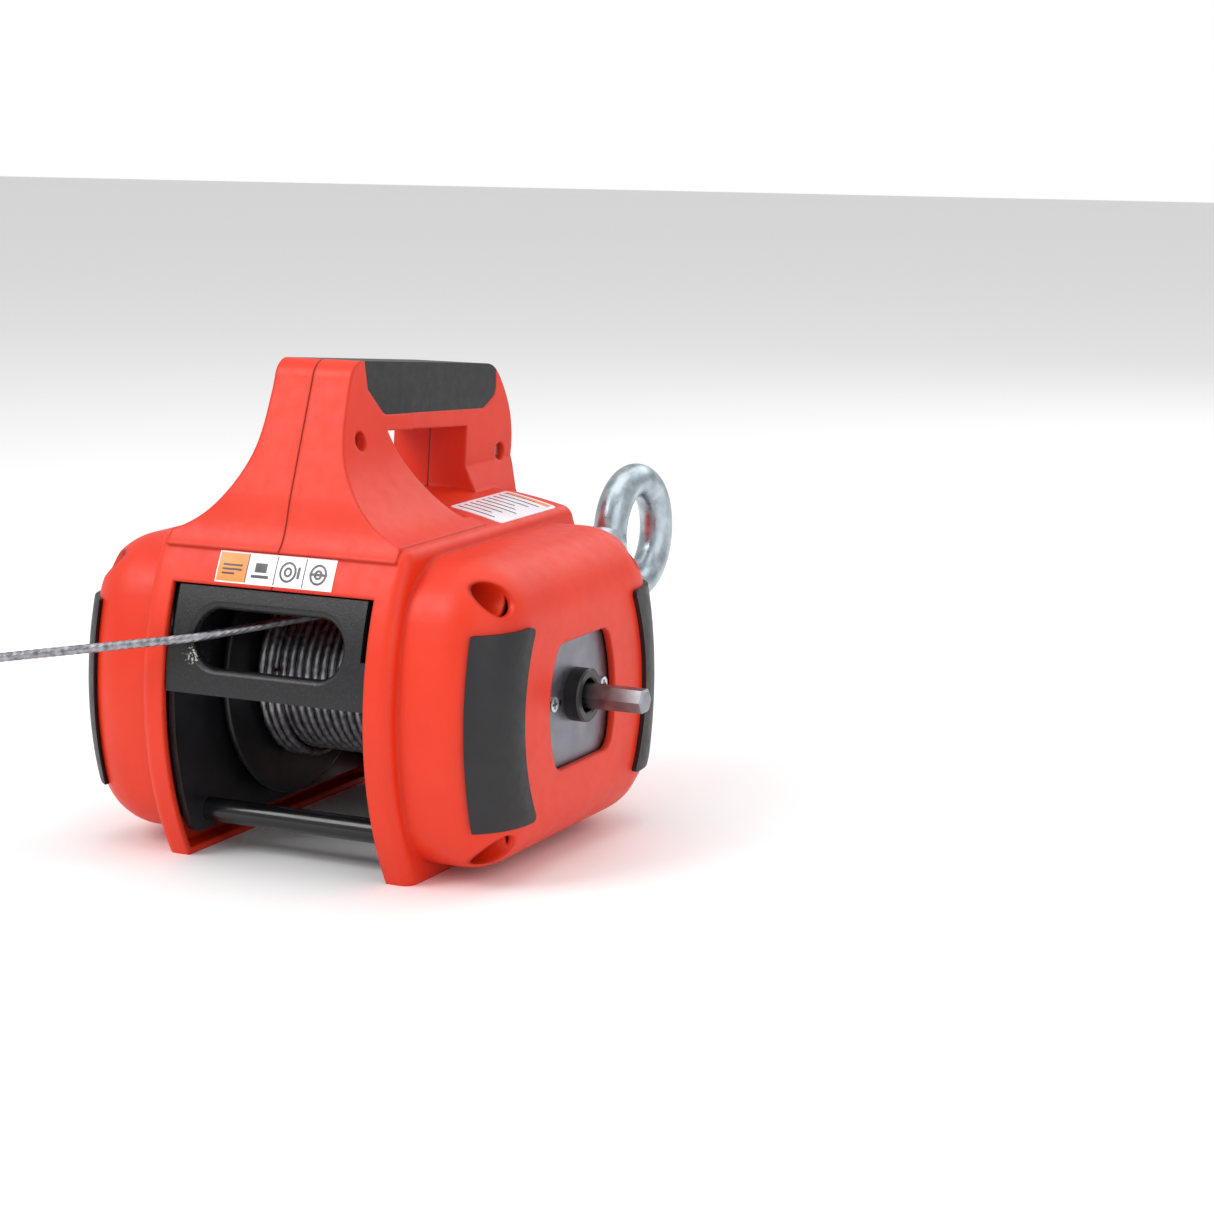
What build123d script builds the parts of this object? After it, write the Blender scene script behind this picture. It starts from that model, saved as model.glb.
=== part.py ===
"""Hand-held winch driven by a power drill: rope drum in a steel frame, planetary reduction on
the left, automatic load brake and hex input on the right, two-part moulded shell with a handle.

X is the drum axis (+X is the drive side), -Y is the rope side, +Z is up. The origin lies under
the drum axis, on the plane that the shell stands on. Millimetres throughout."""
from build123d import *
import math
import os

os.makedirs("parts", exist_ok=True)

# ---------------------------------------------------------------- driving dimensions
body_half_width = 104.5      # outer faces of the side bulges
band_half_width = 62.0       # raised centre band with the rope opening
band_depth_half = 92.8       # apex of the front and rear faces, from the drum axis
face_radius = 146.0          # front and rear faces are upright arcs of this radius
face_apex_z = 68.0
deck_z = 150.0               # crest of the crowned deck
deck_radius = 218.0
band_edge = 5.0
band_brow = 7.0
bulge_inset = 7.0            # side bulges lie this far inside the band's faces
bulge_bottom = 5.0
bulge_top = 137.0
bulge_corner = 33.0         # corners of the bulges, seen along the drum axis
bulge_edge = 27.0            # rounding between a bulge's end face and its sides
wall = 3.0

opening_half_width = 50.0
opening_top = 122.5
window_y = 25.0
window_low = 43.0
window_high = 98.0
window_corner = 8.0

axis_z = 72.0
plate_outer = 50.0
plate_thick = 3.0
plate_back_set = 4.8         # the steel plates' edges lie behind the shell's faces
rod_radius = 5.3
rod_y = 64.0
rod_z = 18.5

drum_radius = 29.0
flange_radius = 58.5
flange_thick = 3.0
rope = 4.0
rope_low_radius = 36.8
rope_high_radius = 41.6
high_turns = 12.5            # width of the part of the winding that is one layer higher
hub_radius = 18.0
shaft_radius = 5.0
hex_across = 10.0
hex_reach = 27.0             # how far the hex stub stands out of the collar

gear_centre = 22.5
planet_radius = 13.2
sun_radius = 8.8
ring_radius = 36.4
gear_width = 11.0
can_radius = 42.0

handle_half = 19.0
grip_wall = 3.0

eye_x = 60.5
eye_z = 119.8
eye_back = 137.2             # ring centre behind the drum axis
eye_ring = 24.9
eye_rod = 7.9
anchor_half = 9.0
shank_radius = 6.0

fit = 0.3                    # gap between pieces on different bodies
running = 0.06               # radial clearance of a running fit


def face_y(z, apex):
    """Distance of an upright arc face from the drum axis at height z."""
    return apex - face_radius + math.sqrt(face_radius ** 2 - (z - face_apex_z) ** 2)


# ---------------------------------------------------------------- outer form of the shell
def housing_form(grow):
    """Centre band with two side bulges, every face moved outwards by grow."""
    apex = band_depth_half + grow
    low = -grow
    crest = deck_z + grow
    half = band_half_width + grow
    with BuildPart() as band:
        with BuildSketch(Plane.YZ.offset(-half)) as section:
            with BuildLine():
                front = ThreePointArc((-face_y(low, apex), low), (-apex, face_apex_z),
                                      (-face_y(crest, apex), crest))
                rear = ThreePointArc((face_y(low, apex), low), (apex, face_apex_z),
                                     (face_y(crest, apex), crest))
                Line(front @ 0, rear @ 0)
                Line(front @ 1, rear @ 1)
            make_face()
        extrude(amount=2 * half)
        with BuildSketch(Plane.XZ.offset(-2 * apex)) as crown:
            with Locations((0, deck_z - deck_radius)):
                Circle(deck_radius + grow)
        extrude(amount=4 * apex, mode=Mode.INTERSECT)
        brows = band.edges().filter_by(lambda e: abs(e.center().X) < 1 and e.center().Z > 120)
        fillet(brows, band_brow)
        rims = band.edges().filter_by(lambda e: abs(abs(e.center().X) - half) < 0.5)
        rims = rims.filter_by(lambda e: e.center().Z > low + 5)
        fillet(rims, band_edge)
    inset = apex - bulge_inset
    outer = body_half_width + grow
    bottom = bulge_bottom - grow
    top = bulge_top + grow
    with BuildPart() as bulges:
        with BuildSketch(Plane.YZ.offset(-outer)) as section:
            with BuildLine():
                front = ThreePointArc((-face_y(bottom, inset), bottom), (-inset, face_apex_z),
                                      (-face_y(top, inset), top))
                rear = ThreePointArc((face_y(bottom, inset), bottom), (inset, face_apex_z),
                                     (face_y(top, inset), top))
                Line(front @ 0, rear @ 0)
                Line(front @ 1, rear @ 1)
            make_face()
            fillet(section.vertices(), bulge_corner + grow)
        extrude(amount=2 * outer)
        rims = bulges.edges().filter_by(lambda e: abs(abs(e.center().X) - outer) < 0.5)
        fillet(rims, bulge_edge + grow)
    return band.part, bulges.part


def finish(node, name):
    """Name a finished piece and write it as its own STEP file."""
    node.part.label = name
    export_step(node.part, f"parts/{name}.step")


def ring_part(x_low, x_high, outer, inner, y=0.0, z=axis_z):
    """Plain ring about an axis parallel to X, as a private solid."""
    long = x_high - x_low
    blank = Pos(x_low, y, z) * Rot(0, 90, 0) * Cylinder(outer, long, align=along, mode=private)
    if inner > 0:
        core = Cylinder(inner, long + 2, align=along, mode=private)
        blank -= Pos(x_low - 1, y, z) * Rot(0, 90, 0) * core
    return blank


def block(x, y, z):
    """Box given by its (low, high) pairs, as a private solid."""
    size = [span[1] - span[0] for span in (x, y, z)]
    corner = (Align.MIN, Align.MIN, Align.MIN)
    return Pos(x[0], y[0], z[0]) * Box(*size, align=corner, mode=private)


along = (Align.CENTER, Align.CENTER, Align.MIN)
private = Mode.PRIVATE

outer_band, outer_bulges = housing_form(0)
inner_band, inner_bulges = housing_form(-wall)

# ---------------------------------------------------------------- handle
post_foot = [(-77.0, 137.2), (-70.6, 147.0), (-66.5, 159.7)]
post_lean = (0.366, 0.93)    # the post's front edge leans back
post_shoulder = (-47.5, 208.0)
hand_gap = [(-21.0, 184.0), (51.0, 178.0), (47.0, deck_z - 4), (-6.0, deck_z - 4)]
flare = [(handle_half, 204.0), (23.7, 174.0), (38.0, 154.0), (57.0, 143.0)]
rear_flare = [(handle_half, 204.0), (handle_half, 160.0), (26.0, 147.0), (30.0, 136.0)]

with BuildPart() as handle:
    with BuildSketch(Plane.YZ.offset(-band_half_width)) as side:
        with BuildLine():
            foot = Spline(post_foot, tangents=[(0.75, 0.66), post_lean])
            shin = Line(foot @ 1, post_shoulder)
            top_front = ThreePointArc(shin @ 1, (-45.0, 212.6), (-39.0, 215.6))
            top_rear = Line(top_front @ 1, (70.0, 204.6))
            heel = Spline((70.0, 204.6), (84.0, 195.0), (92.5, 176.0), (91.5, 160.0), (83.0, 146.0),
                          tangents=[(1, -0.1), (-0.5, -0.86)])
            Polyline([heel @ 1, (83.0, 136.0), foot @ 0])
        make_face()
        with BuildLine():
            Polyline(hand_gap + [hand_gap[0]])
        make_face(mode=Mode.SUBTRACT)
    extrude(amount=2 * band_half_width)
    with BuildSketch(Plane.XZ.offset(0)) as front_width:
        with BuildLine():
            right = Spline(flare, tangents=[(0.05, -1), (1, -0.35)])
            Polyline([flare[-1], (57.0, 130.0), (-57.0, 130.0), (-57.0, 143.0)])
            left = Spline([(-x, z) for x, z in reversed(flare)], tangents=[(1, 0.35), (0.05, 1)])
            Polyline([(-handle_half, 204.0), (-handle_half, 230.0), (handle_half, 230.0), flare[0]])
        make_face()
    front_limit = extrude(amount=120, mode=Mode.PRIVATE)
    with BuildSketch(Plane.XZ.offset(-120)) as rear_width:
        with BuildLine():
            Polyline([(handle_half, 230.0)] + rear_flare + [(-x, z) for x, z in reversed(rear_flare)]
                     + [(-handle_half, 230.0), (handle_half, 230.0)])
        make_face()
    rear_limit = extrude(amount=120, mode=Mode.PRIVATE)
    add(front_limit.fuse(rear_limit), mode=Mode.INTERSECT)

# ---------------------------------------------------------------- shell, one solid before splitting
recess_y = 62.0
recess_heights = (17.0, 123.0)
recess_radius = 7.0
post_screws = [(-44.0, 182.0), (81.0, 163.0)]
eye_hole = 12.0
slot_half = 37.0
slot_low = 87.5
slot_high = 112.0
plate_face = body_half_width - wall - 0.8

with BuildPart() as shell:
    add(outer_band)
    add(outer_bulges)
    add(inner_band, mode=Mode.SUBTRACT)
    add(inner_bulges, mode=Mode.SUBTRACT)
    add(handle.part.cut(inner_band))
    # rope opening in the front wall and the open underside between the steel plates
    add(block((-opening_half_width, opening_half_width), (-110, -55), (-5, opening_top)),
        mode=Mode.SUBTRACT)
    add(block((-opening_half_width, opening_half_width), (-100, 78), (-5, wall + 1)),
        mode=Mode.SUBTRACT)
    for end in (-1, 1):
        # window over the bearing plate
        with BuildSketch(Plane.YZ.offset(end * body_half_width)) as window:
            with BuildLine():
                side_front = ThreePointArc((-window_y, window_low), (-window_y - 6, axis_z),
                                           (-window_y + 3, window_high))
                side_rear = ThreePointArc((window_y, window_low), (window_y + 5, axis_z),
                                          (window_y - 2, window_high))
                Line(side_front @ 0, side_rear @ 0)
                Line(side_front @ 1, side_rear @ 1)
            make_face()
            fillet(window.vertices(), window_corner)
        extrude(amount=12, both=True, mode=Mode.SUBTRACT)
        # screw towers at the bulge corners, each with a deep counterbore
        for y in (-recess_y, recess_y):
            for z in recess_heights:
                tower = ring_part(72, 96, recess_radius + 2.5, 0, y, z)
                tower = tower if end > 0 else tower.mirror(Plane.YZ)
                add(tower.intersect(outer_bulges))
                bore = ring_part(75, 110, recess_radius, 0, y, z)
                bore = bore if end > 0 else bore.mirror(Plane.YZ)
                add(bore, mode=Mode.SUBTRACT)
                pilot = ring_part(70, 76, 2.0, 0, y, z)
                pilot = pilot if end > 0 else pilot.mirror(Plane.YZ)
                add(pilot, mode=Mode.SUBTRACT)
    for y, z in post_screws:
        add(ring_part(-40, 40, 1.8, 0, y, z), mode=Mode.SUBTRACT)
        add(ring_part(handle_half - 5, 40, 4.2, 0, y, z), mode=Mode.SUBTRACT)
        add(ring_part(-40, -handle_half + 5, 4.2, 0, y, z), mode=Mode.SUBTRACT)
    add(Pos(eye_x, 60, eye_z) * Rot(-90, 0, 0) * Cylinder(eye_hole, 60, align=along, mode=private),
        mode=Mode.SUBTRACT)

# the bar of the handle is necked in where the two rubber grips close round it
grip_front = -34.0
grip_rear = 78.0

with BuildPart() as grip_zone:
    with BuildSketch(Plane.YZ.offset(-40)) as grip_side:
        with BuildLine():
            Polyline([(grip_front - 5, 230.0), (grip_front, 203.0), (grip_front + 12, 191.0),
                      (grip_rear - 12, 184.5), (grip_rear, 190.0), (grip_rear + 2, 230.0)], close=True)
        make_face()
        fillet(grip_side.vertices().filter_by(lambda v: v.Y < 200), 6)
    extrude(amount=80)
with BuildPart() as neck:
    add(handle.part.intersect(grip_zone.part))
    with BuildSketch(Plane.YZ.offset(-40)) as neck_side:
        with BuildLine():
            Polyline([(grip_front - 9, 170.0), (grip_front - 9, 211.5 - grip_wall),
                      (grip_rear + 9, 201.0 - grip_wall), (grip_rear + 9, 170.0)], close=True)
        make_face()
    extrude(amount=80, mode=Mode.INTERSECT)
    add(block((-handle_half + grip_wall, handle_half - grip_wall), (-80, 110), (100, 240)),
        mode=Mode.INTERSECT)

for name, sign in (("shell_left", -1), ("shell_right", 1)):
    with BuildPart() as half:
        add(shell.part.cut(grip_zone.part))
        add(neck.part)
        side_x = (0, 130) if sign > 0 else (-130, 0)
        add(block(side_x, (-130, 130), (-10, 240)), mode=Mode.INTERSECT)
    finish(half, name)

for name, sign in (("grip_left", -1), ("grip_right", 1)):
    with BuildPart() as grip:
        add(handle.part.intersect(grip_zone.part))
        add(neck.part, mode=Mode.SUBTRACT)
        side_x = (0, 130) if sign > 0 else (-130, 0)
        add(block(side_x, (-130, 130), (100, 240)), mode=Mode.INTERSECT)
    finish(grip, name)

# ---------------------------------------------------------------- corner bumpers
bumper_proud = 2.2
bumper_low = 27.0
bumper_high = 110.0
bumper_front_x = 92.5        # inner edge on the front face
bumper_side_y = 46.0         # rear edge on the end face, at its top and bottom corners
bumper_waist_y = 57.0        # and at mid height
bumper_form = housing_form(bumper_proud)[1].cut(outer_bulges)

with BuildPart() as bumper_zone:
    with BuildSketch(Plane.YZ.offset(bumper_front_x)) as bumper_side:
        with BuildLine():
            waist = ThreePointArc((-bumper_side_y, bumper_low),
                                  (-bumper_waist_y, (bumper_low + bumper_high) / 2),
                                  (-bumper_side_y, bumper_high))
            Polyline([waist @ 1, (-110.0, bumper_high), (-110.0, bumper_low), waist @ 0])
        make_face()
        fillet(bumper_side.vertices().filter_by(lambda v: v.Y > -100), 2.0)
    extrude(amount=30)
for side, sx in (("left", -1), ("right", 1)):
    for end, sy in (("front", 1), ("rear", -1)):
        with BuildPart() as bumper:
            zone = bumper_zone.part if sx > 0 else bumper_zone.part.mirror(Plane.YZ)
            zone = zone if sy > 0 else zone.mirror(Plane.XZ)
            add(bumper_form.intersect(zone))
        finish(bumper, f"bumper_{end}_{side}")

# ---------------------------------------------------------------- steel frame
anchor_y = 58.0
plate_apex = band_depth_half - plate_back_set
plate_low = 10.0
plate_high = 135.0
bush_radius = 23.0

for name, x_low in (("frame_plate_left", -plate_outer), ("frame_plate_right", plate_outer - plate_thick)):
    with BuildPart() as plate:
        with BuildSketch(Plane.YZ.offset(x_low)) as outline:
            with BuildLine():
                front = ThreePointArc((-face_y(plate_low, plate_apex), plate_low),
                                      (-plate_apex, face_apex_z),
                                      (-face_y(plate_high, plate_apex), plate_high))
                rear = ThreePointArc((face_y(plate_low, plate_apex), plate_low),
                                     (plate_apex, face_apex_z),
                                     (face_y(plate_high, plate_apex), plate_high))
                Line(front @ 0, rear @ 0)
                Line(front @ 1, rear @ 1)
            make_face()
            fillet(outline.vertices(), 9)
            with Locations((0, axis_z)):
                Circle(bush_radius, mode=Mode.SUBTRACT)
            with Locations((anchor_y, eye_z)):
                Rectangle(2 * anchor_half, 2 * anchor_half, mode=Mode.SUBTRACT)
            with Locations((-rod_y, rod_z), (rod_y, rod_z)):
                Circle(rod_radius - 1.3, mode=Mode.SUBTRACT)
        extrude(amount=plate_thick)
    finish(plate, name)

bolt_head = 4.0
for name, sy in (("tie_rod_front", -1), ("tie_rod_rear", 1)):
    with BuildPart() as rod:
        add(ring_part(-plate_outer + plate_thick, plate_outer - plate_thick, rod_radius, 0,
                      sy * rod_y, rod_z))
        add(ring_part(-plate_outer, plate_outer, rod_radius - 1.3, 0, sy * rod_y, rod_z))
    finish(rod, name)
with BuildPart() as heads:
    for sx in (-1, 1):
        for sy in (-1, 1):
            x_low = plate_outer if sx > 0 else -plate_outer - bolt_head
            with BuildSketch(Plane.YZ.offset(x_low)) as head:
                with Locations((sy * rod_y, rod_z)):
                    RegularPolygon(7.5, 6)
            extrude(amount=bolt_head)
finish(heads, "tie_rod_bolts")

with BuildPart() as anchor_bar:
    add(block((-plate_outer - 8, eye_x + 8), (anchor_y - anchor_half, anchor_y + anchor_half),
              (eye_z - anchor_half, eye_z + anchor_half)))
    chamfer(anchor_bar.edges().filter_by(Axis.X), 1.0)
    shank_hole = Cylinder(shank_radius + running, 120, align=along, mode=private)
    add(Pos(eye_x, 0, eye_z) * Rot(-90, 0, 0) * shank_hole, mode=Mode.SUBTRACT)
finish(anchor_bar, "rear_anchor_bar")

with BuildPart() as eye:
    with BuildSketch(Plane.XY.offset(eye_z)) as rod_section:
        with Locations((eye_x, eye_back + eye_ring)):
            Circle(eye_rod)
    revolve(axis=Axis((eye_x, eye_back, eye_z), (1, 0, 0)))
    shank_low = anchor_y - anchor_half - 9.0
    add(Pos(eye_x, shank_low, eye_z) * Rot(-90, 0, 0)
        * Cylinder(shank_radius, eye_back - eye_ring - shank_low, align=along, mode=private))
    add(Pos(eye_x, anchor_y + anchor_half + fit, eye_z) * Rot(-90, 0, 0)
        * Cylinder(9.8, 5.0, align=along, mode=private))
    add(Pos(eye_x, eye_back - eye_ring - 9.0, eye_z) * Rot(-90, 0, 0)
        * Cone(shank_radius, 10.0, 7.0, align=along, mode=private))
finish(eye, "anchor_eye")
with BuildPart() as eye_nut:
    with BuildSketch(Plane.XZ.offset(-(anchor_y - anchor_half - fit))) as nut_section:
        with Locations((eye_x, eye_z)):
            RegularPolygon(10.0, 6)
            Circle(shank_radius, mode=Mode.SUBTRACT)
    extrude(amount=8.0)
finish(eye_nut, "anchor_nut")

# ---------------------------------------------------------------- rope opening plate
fair_low = 76.5
fair_high = 121.5
fair_apex = band_depth_half - 1.5
fair_thick = 7.0
with BuildPart() as fairlead:
    with BuildSketch(Plane.YZ.offset(-opening_half_width + 0.8)) as fair_section:
        with BuildLine():
            mid = (fair_low + fair_high) / 2
            skin = ThreePointArc((-face_y(fair_low, fair_apex), fair_low),
                                 (-face_y(mid, fair_apex), mid),
                                 (-face_y(fair_high, fair_apex), fair_high))
            back = ThreePointArc((-face_y(fair_low, fair_apex) + fair_thick, fair_low),
                                 (-face_y(mid, fair_apex) + fair_thick, mid),
                                 (-face_y(fair_high, fair_apex) + fair_thick, fair_high))
            Line(skin @ 0, back @ 0)
            Line(skin @ 1, back @ 1)
        make_face()
    extrude(amount=2 * opening_half_width - 1.6)
    for sx in (-1, 1):
        ear_low = opening_half_width - plate_thick - 7.0
        ear_x = (ear_low, ear_low + 6.7) if sx > 0 else (-ear_low - 6.7, -ear_low)
        add(block(ear_x, (-83, -70), (fair_low + 10, fair_high - 10)))
        cut_x = (plate_outer - plate_thick - 0.3, plate_outer + 0.1)
        cut_x = cut_x if sx > 0 else (-cut_x[1], -cut_x[0])
        add(block(cut_x, (-plate_apex - 0.4, -60), (fair_low - 5, fair_high + 5)), mode=Mode.SUBTRACT)
    with BuildSketch(Plane.XZ.offset(60)) as slot:
        with Locations((0, (slot_low + slot_high) / 2)):
            SlotOverall(2 * slot_half, slot_high - slot_low)
    extrude(amount=60, mode=Mode.SUBTRACT)
    lips = fairlead.edges().filter_by(lambda e: abs(e.center().Z - 99.75) < 13 and e.center().Y < -82
                                      and abs(e.center().X) < slot_half)
    fillet(lips, 3.0)
finish(fairlead, "fairlead")

# ---------------------------------------------------------------- bearing plates in the windows
plate_sheet = 2.0
collar_radius = 11.7
collar_high = 7.0
screw_y = -23.0

for name, sign in (("cover_plate_left", -1), ("cover_plate_right", 1)):
    with BuildPart() as cover:
        with BuildSketch(Plane.YZ.offset(sign * (plate_face - plate_sheet))) as cover_side:
            with Locations((0, (window_low + window_high) / 2)):
                RectangleRounded(2 * window_y + 18, window_high - window_low + 8, 10)
            if sign > 0:
                with Locations((0, axis_z)):
                    Circle(collar_radius - 1.5 + running, mode=Mode.SUBTRACT)
            with Locations((screw_y, axis_z), (-screw_y, axis_z)):
                Circle(1.7, mode=Mode.SUBTRACT)
            with Locations((screw_y + 9, axis_z - 1)):
                Circle(1.2, mode=Mode.SUBTRACT)
        extrude(amount=sign * plate_sheet)
    finish(cover, name)

with BuildPart() as collar:
    add(ring_part(plate_face, plate_face + collar_high, collar_radius, shaft_radius + 2.4))
    add(ring_part(plate_face - 5.0, plate_face, collar_radius - 1.5, shaft_radius + 2.4))
    chamfer(collar.edges().filter_by(GeomType.CIRCLE).sort_by(Axis.X)[-2:], 0.8)
finish(collar, "input_collar")

with BuildPart() as cover_screws:
    for sign in (-1, 1):
        for y in (screw_y, -screw_y):
            shank = ring_part(plate_face - 5, plate_face, 1.6, 0, y)
            pan = ring_part(plate_face, plate_face + 2.0, 3.3, 0, y)
            add(shank if sign > 0 else shank.mirror(Plane.YZ))
            add(pan if sign > 0 else pan.mirror(Plane.YZ))
finish(cover_screws, "cover_screws")

with BuildPart() as shell_screws:
    for y in (-recess_y, recess_y):
        for z in recess_heights:
            add(ring_part(72.0, 75.0, 2.0, 0, y, z))
            add(ring_part(75.0, 79.0, 4.2, 0, y, z))
            add(ring_part(-75.0, -72.0, 2.0, 0, y, z))
            add(ring_part(-79.0, -75.0, 4.2, 0, y, z))
    for y, z in post_screws:
        add(ring_part(-14.0, 14.0, 1.7, 0, y, z))
        add(ring_part(14.0, 16.6, 3.4, 0, y, z))
        add(ring_part(-16.6, -14.0, 3.4, 0, y, z))
finish(shell_screws, "shell_screws")

# ---------------------------------------------------------------- drum
core_half = 39.5
hub_end = 52.0
bore = shaft_radius + 3.0
with BuildPart() as drum_core:
    add(ring_part(-core_half, core_half, drum_radius, bore))
    add(ring_part(-hub_end, -core_half, hub_radius, bore))
    add(ring_part(core_half, hub_end, hub_radius, bore))
finish(drum_core, "drum_core")
for name, x_low in (("flange_left", -core_half - flange_thick), ("flange_right", core_half)):
    with BuildPart() as flange:
        add(ring_part(x_low, x_low + flange_thick, flange_radius, hub_radius))
        rims = flange.edges().filter_by(GeomType.CIRCLE)
        fillet(rims.filter_by(lambda e: e.radius > flange_radius - 1), 1.2)
    finish(flange, name)
with BuildPart() as winding:
    add(ring_part(-core_half, core_half, rope_low_radius, drum_radius))
    add(ring_part(-core_half, -core_half + high_turns, rope_high_radius, drum_radius))
finish(winding, "wound_rope")
with BuildPart() as rope_clamp:
    add(ring_part(core_half + flange_thick, core_half + flange_thick + 2.4, 5.0, 0, 0, axis_z + 46))
finish(rope_clamp, "rope_clamp_screw")

for name, sign in (("drum_bush_left", -1), ("drum_bush_right", 1)):
    with BuildPart() as bush:
        sleeve = ring_part(plate_outer - plate_thick, plate_outer, bush_radius, hub_radius + running)
        rim = ring_part(plate_outer - plate_thick - 1.5, plate_outer - plate_thick,
                        bush_radius + 2.5, hub_radius + running)
        add(sleeve if sign > 0 else sleeve.mirror(Plane.YZ))
        add(rim if sign > 0 else rim.mirror(Plane.YZ))
    finish(bush, name)

# ---------------------------------------------------------------- planetary reduction, left side
pin_radius = 3.5
out_disc = (-hub_end - 4.0, -hub_end)
stage_2 = (out_disc[0] - 1.0 - gear_width, out_disc[0] - 1.0)
mid_disc = (stage_2[0] - 1.0 - 4.0, stage_2[0] - 1.0)
stage_1 = (mid_disc[0] - 1.0 - gear_width, mid_disc[0] - 1.0)
can_end = stage_1[0] - 3.0
tube_radius = shaft_radius + 0.5


def planet_spot(index):
    """Centre of planet number index, on the circle of the gear centres."""
    turn = math.radians(90 + 120 * index)
    return gear_centre * math.cos(turn), axis_z + gear_centre * math.sin(turn)


def gear(x_span, radius, teeth, depth, hole, y=0.0, z=axis_z):
    """Spur gear with rectangular gaps between its teeth, as a private solid."""
    wheel = ring_part(x_span[0], x_span[1], radius, hole, y, z)
    gap = math.pi * radius / teeth * 0.9
    for index in range(teeth):
        slit = Rot(360 / teeth * index, 0, 0) * Pos(0, 0, radius) * Box(60, gap, 2 * depth, mode=private)
        wheel -= Pos((x_span[0] + x_span[1]) / 2, y, z) * slit
    return wheel


with BuildPart() as carrier_out:
    add(ring_part(*out_disc, 32.0, bore))
    for index in range(3):
        y, z = planet_spot(index)
        add(ring_part(stage_2[0] + 0.3, out_disc[0], pin_radius, 0, y, z))
finish(carrier_out, "carrier_output")
with BuildPart() as carrier_mid:
    add(ring_part(*mid_disc, 32.0, tube_radius))
    add(gear((mid_disc[1], stage_2[1]), sun_radius, 12, 1.6, tube_radius))
    for index in range(3):
        y, z = planet_spot(index)
        add(ring_part(stage_1[0] + 0.3, mid_disc[0], pin_radius, 0, y, z))
finish(carrier_mid, "carrier_first")
for stage, span in (("first", stage_1), ("second", stage_2)):
    for index, letter in enumerate("abc"):
        y, z = planet_spot(index)
        with BuildPart() as planet:
            add(gear(span, planet_radius, 18, 1.6, pin_radius + running, y, z))
        finish(planet, f"planet_{stage}_{letter}")

with BuildPart() as gear_can:
    add(ring_part(can_end, -plate_outer, can_radius, ring_radius))
    add(ring_part(-hub_end, -plate_outer, can_radius, bush_radius + 14.0))
    for index in range(48):
        turn = 360 / 48 * index
        slot_box = Rot(turn, 0, 0) * Pos(0, 0, ring_radius) * Box(60, 1.9, 2.4, mode=private)
        add(Pos((can_end + out_disc[0]) / 2, 0, axis_z) * slot_box, mode=Mode.SUBTRACT)
finish(gear_can, "ring_gear_housing")
with BuildPart() as gear_cover:
    add(ring_part(can_end - 3.0, can_end, can_radius, shaft_radius + 3.0))
    add(ring_part(can_end - 8.0, can_end - 3.0, 12.0, shaft_radius + 3.0))
finish(gear_cover, "gear_cover")

# ---------------------------------------------------------------- input shaft and brake, right side
brake_end = 92.0
disc = (66.0, 69.0)
with BuildPart() as brake_can:
    add(ring_part(plate_outer, brake_end, can_radius, can_radius - 4))
    add(ring_part(brake_end, brake_end + 3.0, can_radius, 14.0))
finish(brake_can, "brake_housing")
with BuildPart() as friction:
    add(ring_part(disc[1] + 0.4, disc[1] + 3.4, can_radius - 4, 16.0))
    add(ring_part(disc[0] - 3.4, disc[0] - 0.4, can_radius - 4, 16.0))
finish(friction, "brake_friction_discs")
with BuildPart() as input_bearing:
    add(ring_part(brake_end - 4.0, brake_end + 3.0, 14.0, shaft_radius + running))
finish(input_bearing, "input_bearing")
with BuildPart() as shaft_bearing:
    add(ring_part(can_end - 8.0, can_end, shaft_radius + 3.0, shaft_radius + running))
finish(shaft_bearing, "shaft_bearing")
with BuildPart() as drive_shaft:
    add(ring_part(can_end - 9.0, plate_face - 4.0, shaft_radius, 0))
    add(gear((stage_1[0], stage_1[1]), sun_radius, 12, 1.6, 0))
    with BuildSketch(Plane.YZ.offset(plate_face - 4.0)) as stub:
        with Locations((0, axis_z)):
            RegularPolygon(hex_across / 2, 6, major_radius=False)
    extrude(amount=4.0 + collar_high + hex_reach)
    chamfer(drive_shaft.faces().sort_by(Axis.X)[-1].edges(), 1.0)
finish(drive_shaft, "drive_shaft")
with BuildPart() as rotor:
    add(ring_part(*disc, can_radius - 7, shaft_radius))
    add(ring_part(disc[1], disc[1] + 14.0, 9.0, shaft_radius))
finish(rotor, "brake_rotor")

# ---------------------------------------------------------------- labels
label_skin = 0.3
with BuildPart() as front_label:
    with BuildSketch(Plane.YZ.offset(-29)) as label_section:
        with BuildLine():
            low_z, high_z = 124.0, 136.5
            skins = [ThreePointArc((-face_y(low_z, band_depth_half + grow), low_z),
                                   (-face_y((low_z + high_z) / 2, band_depth_half + grow),
                                    (low_z + high_z) / 2),
                                   (-face_y(high_z, band_depth_half + grow), high_z))
                     for grow in (0.0, label_skin)]
            Line(skins[0] @ 0, skins[1] @ 0)
            Line(skins[0] @ 1, skins[1] @ 1)
        make_face()
    extrude(amount=58)
finish(front_label, "front_label")
deck_label_at = (46.0, 36.0)
deck_label_size = (26.0, 52.0)
with BuildPart() as deck_label:
    with BuildSketch(Plane.XZ.offset(-(deck_label_at[1] + deck_label_size[1] / 2))) as skin:
        with Locations((0, deck_z - deck_radius)):
            Circle(deck_radius + label_skin)
            Circle(deck_radius, mode=Mode.SUBTRACT)
    extrude(amount=deck_label_size[1])
    with BuildSketch(Plane.XY.offset(100)) as patch:
        with Locations(deck_label_at):
            RectangleRounded(*deck_label_size, 2.0)
    extrude(amount=100, mode=Mode.INTERSECT)
finish(deck_label, "deck_label")

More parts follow.
